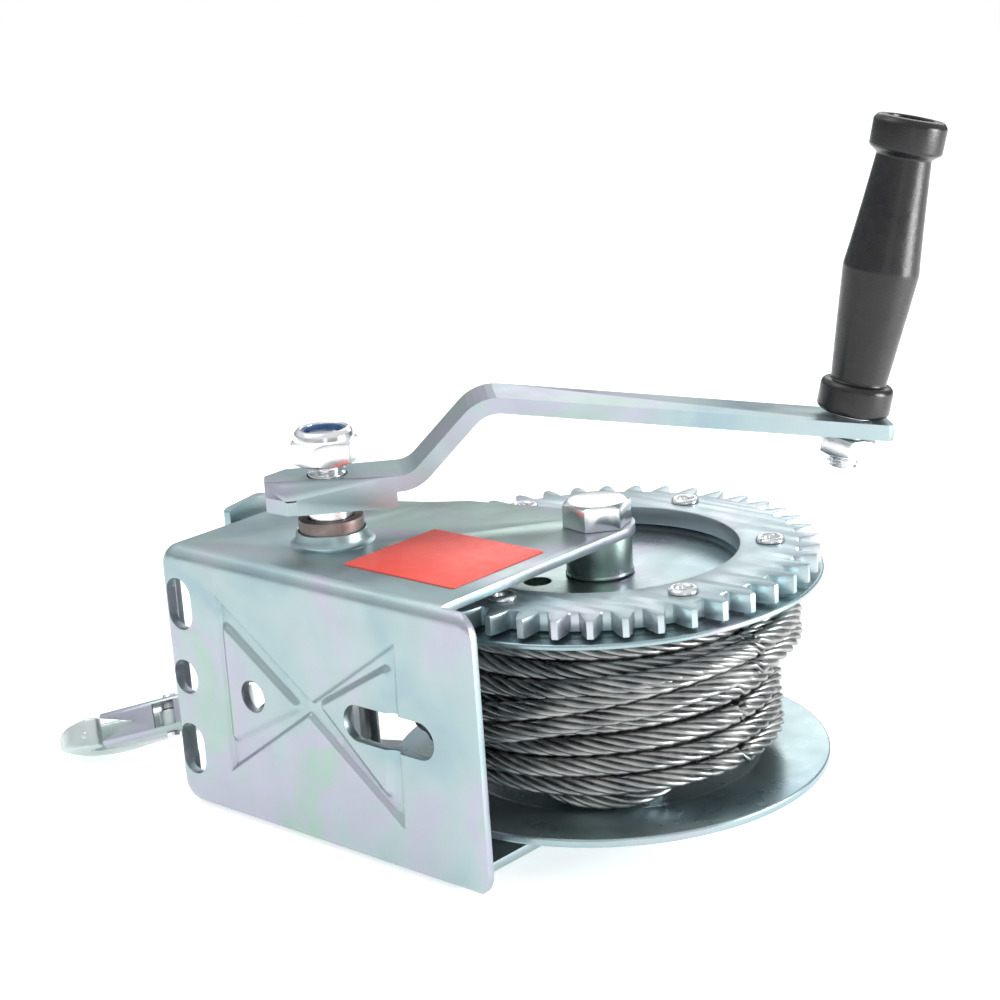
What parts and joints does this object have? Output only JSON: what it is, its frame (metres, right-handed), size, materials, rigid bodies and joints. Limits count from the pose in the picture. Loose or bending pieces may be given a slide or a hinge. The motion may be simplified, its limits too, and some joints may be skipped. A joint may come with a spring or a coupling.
{
  "type": "boat trailer winch",
  "caption": "Hand-cranked cable winch: bent sheet frame, geared drum of wire rope, cranked handle with a turning grip, ratchet pawl and a latched hook.",
  "frame": {"origin": "middle of the outer face of the base plate: on its long centre line, 69 mm from its left end", "axes": "+X along the base plate, +Y from the base plate towards the drum, +Z along the drum axis towards the crank side; the base plate's outer face looks along -Y"},
  "size_m": [0.2534, 0.1829, 0.2164],
  "materials": {
    "zinc": "zinc plated, pale blue-green iridescence",
    "bright_zinc": "bright plated fasteners",
    "gear_zinc": "zinc plated gear steel",
    "machined_steel": "plain oiled steel",
    "wire_rope": "galvanised wire rope",
    "sintered_bronze": "dark sintered bush",
    "black_grip": "satin black plastic",
    "blue_nylon": "blue nylon",
    "red_label": "plain red label"
  },
  "bodies": {
    "frame": {"frame_plate": "zinc", "info_decal": "red_label", "drum_bolt": "bright_zinc", "drum_washer": "bright_zinc", "drum_nut": "bright_zinc", "axle_sleeve": "machined_steel", "spacer_upper": "zinc", "spacer_lower": "zinc", "pinion_bush_upper": "sintered_bronze", "pinion_bush_lower": "sintered_bronze", "pawl_stud": "bright_zinc", "pawl_spring": "machined_steel", "cable_tail": "wire_rope", "ferrule": "zinc", "cable_loop": "wire_rope"},
    "drum": {"drum_core": "zinc", "upper_flange": "zinc", "lower_flange": "zinc", "ring_gear": "gear_zinc", "cable_clamp": "zinc", "clamp_screw": "bright_zinc", "cable_winding": "wire_rope", "gear_rivet_1": "bright_zinc", "gear_rivet_2": "bright_zinc", "gear_rivet_3": "bright_zinc", "gear_rivet_4": "bright_zinc", "gear_rivet_5": "bright_zinc", "gear_rivet_6": "bright_zinc"},
    "crank": {"crank_shaft": "bright_zinc", "pinion_gear": "machined_steel", "ratchet_wheel": "machined_steel", "shaft_spacer": "machined_steel", "shaft_clip": "machined_steel", "crank_arm": "zinc", "crank_nut": "bright_zinc", "nut_nylon_ring": "blue_nylon", "grip_bolt": "bright_zinc", "grip_nut": "bright_zinc", "grip_washer": "bright_zinc"},
    "grip": {"grip": "black_grip"},
    "pawl": {"pawl": "zinc"},
    "hook": {"hook": "gear_zinc", "latch_pin": "bright_zinc"},
    "latch": {"hook_latch": "zinc", "latch_spring": "machined_steel"}
  },
  "joints": [
    {"name": "drum_spin", "type": "hinge", "parent": "frame", "child": "drum", "pos_m": [0.042, 0.0865, 0], "axis": [0, 0, 1], "continuous": true},
    {"name": "crank_spin", "type": "hinge", "parent": "frame", "child": "crank", "pos_m": [-0.02002, 0.03163, 0], "axis": [0, 0, 1], "continuous": true},
    {"name": "grip_spin", "type": "hinge", "parent": "crank", "child": "grip", "pos_m": [0.09278, 0.15259, 0.0693], "axis": [0.1523, 0.1633, 0.9748], "continuous": true},
    {"name": "pawl_pivot", "type": "hinge", "parent": "frame", "child": "pawl", "pos_m": [-0.052, 0.044, 0.038], "axis": [0, 0, 1], "range_deg": [0, 18]},
    {"name": "hook_swing", "type": "hinge", "parent": "frame", "child": "hook", "pos_m": [-0.0808, 0.033, -0.0237], "axis": [-0.4612, 0.32, 0.8276], "range_deg": [0, 50]},
    {"name": "hook_latch_hinge", "type": "hinge", "parent": "hook", "child": "latch", "pos_m": [-0.09633, 0.02088, -0.02767], "axis": [0.4612, -0.32, -0.8276], "range_deg": [0, 18], "stiffness_Nm_per_rad": 0.01, "springref_deg": -5.73}
  ],
  "couplings": [
    {"joint": "crank_spin", "follows": "drum_spin", "ratio": -3.8182}
  ]
}
